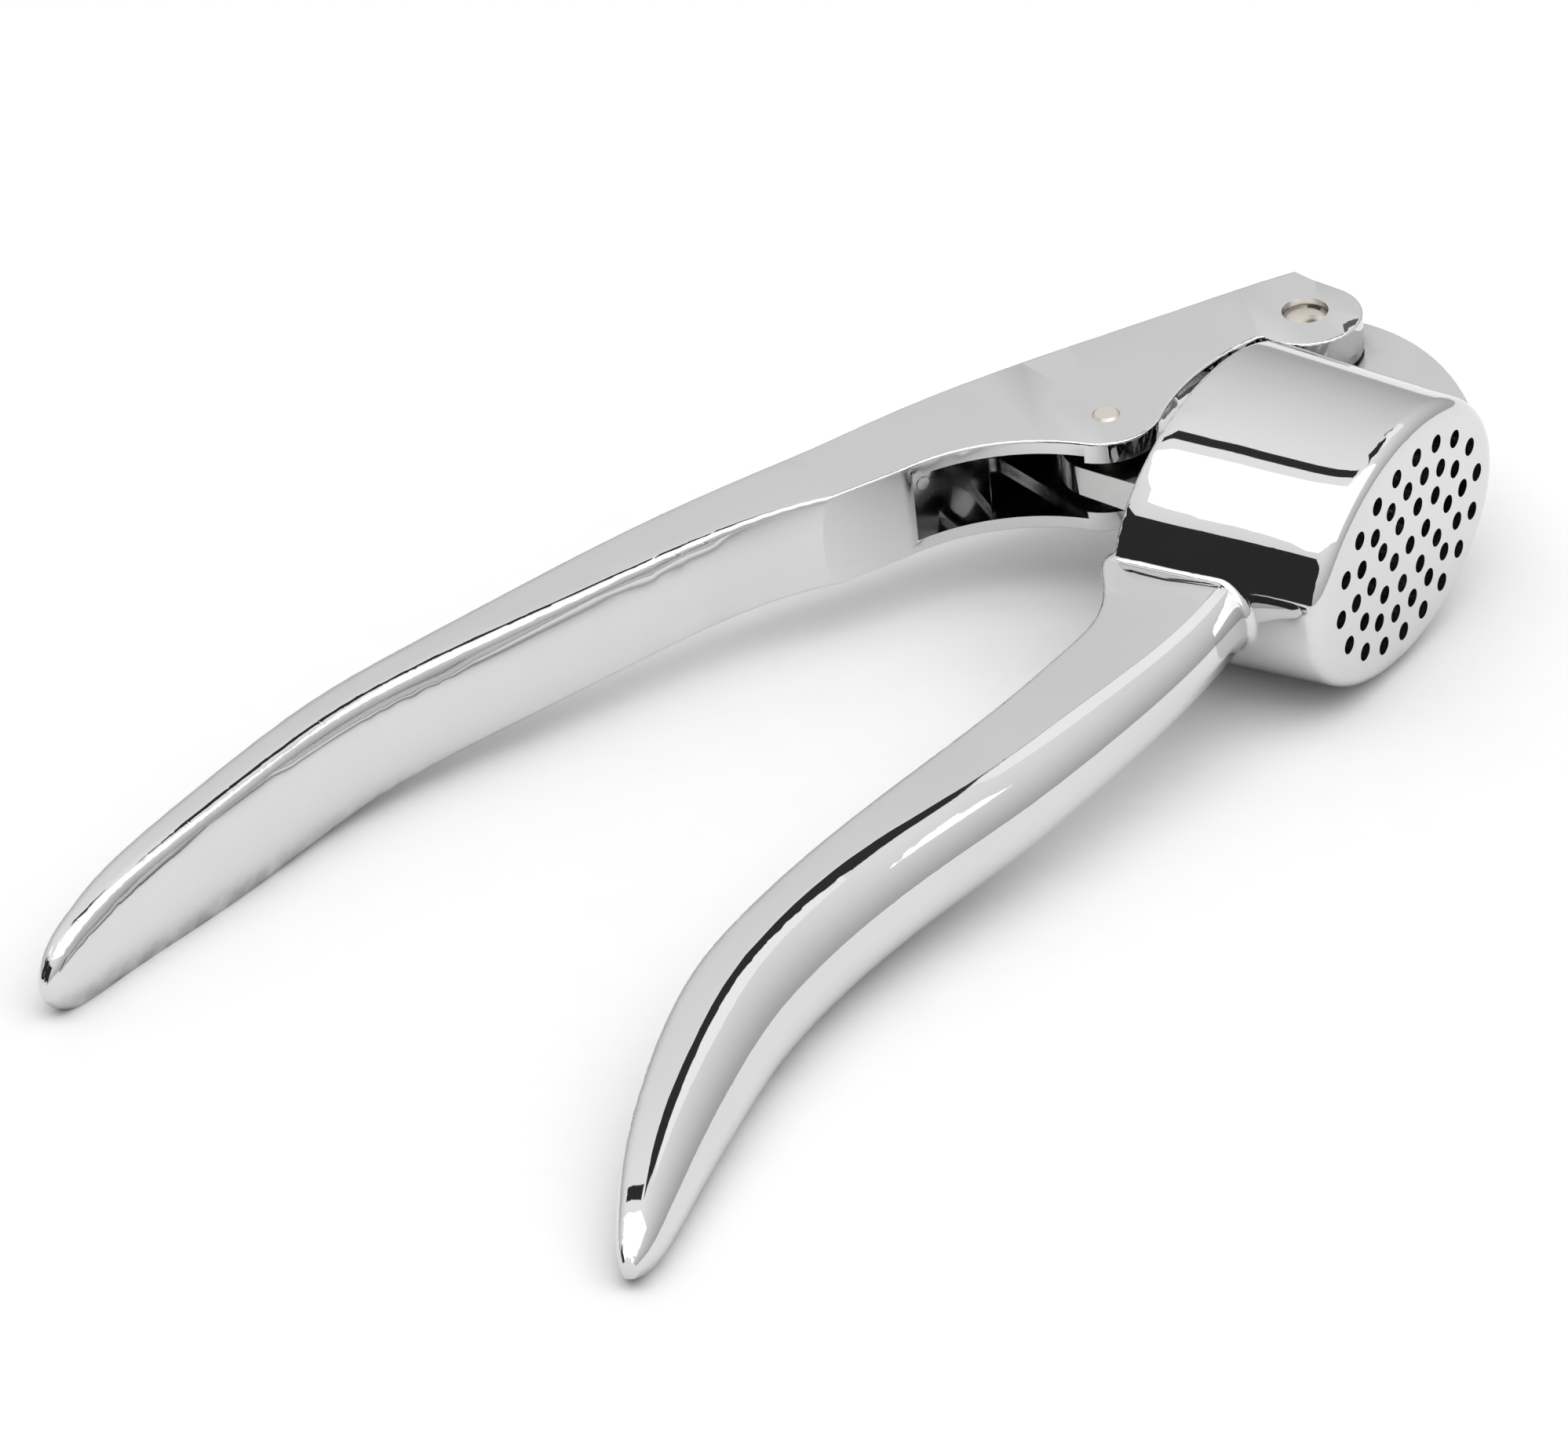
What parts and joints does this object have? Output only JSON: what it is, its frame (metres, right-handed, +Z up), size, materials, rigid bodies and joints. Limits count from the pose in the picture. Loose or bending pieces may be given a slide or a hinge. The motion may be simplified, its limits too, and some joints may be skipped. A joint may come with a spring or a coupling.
{
  "type": "garlic press",
  "caption": "Hand garlic press of polished castings: oval perforated cup, hinged upper lever with a swinging plunger, curved grips, shown part open on its side.",
  "frame": {"origin": "under the middle of the bounding box of the whole press, level with its lowest point", "axes": "+X from the hinge along the handles, +Y the way the garlic leaves through the grid, +Z up along the hinge axis, with the press lying on its side"},
  "size_m": [0.1679, 0.0884, 0.0291],
  "materials": {
    "polished_casting": "mirror-polished chrome plate on a zinc casting",
    "plunger_casting": "chrome plate on a zinc casting, slightly duller than the handles",
    "pin_steel": "plain steel with a faint warm tone"
  },
  "bodies": {
    "body": {"body_casting": "polished_casting"},
    "lever": {"lever_casting": "polished_casting", "hinge_rivet": "pin_steel", "plunger_pin": "pin_steel"},
    "plunger_swing": {"plunger": "plunger_casting"}
  },
  "joints": [
    {"name": "lever_hinge", "type": "hinge", "parent": "body", "child": "lever", "pos_m": [-0.07731, 0.01669, 0.01458], "axis": [0, 0, 1], "range_deg": [-36, 19]},
    {"name": "plunger_pivot", "type": "hinge", "parent": "lever", "child": "plunger_swing", "pos_m": [-0.05051, 0.00725, 0.01458], "axis": [0, 0, 1], "range_deg": [-11.5, 21.7]}
  ],
  "couplings": [
    {"joint": "plunger_pivot", "follows": "lever_hinge", "ratio": -0.6}
  ]
}
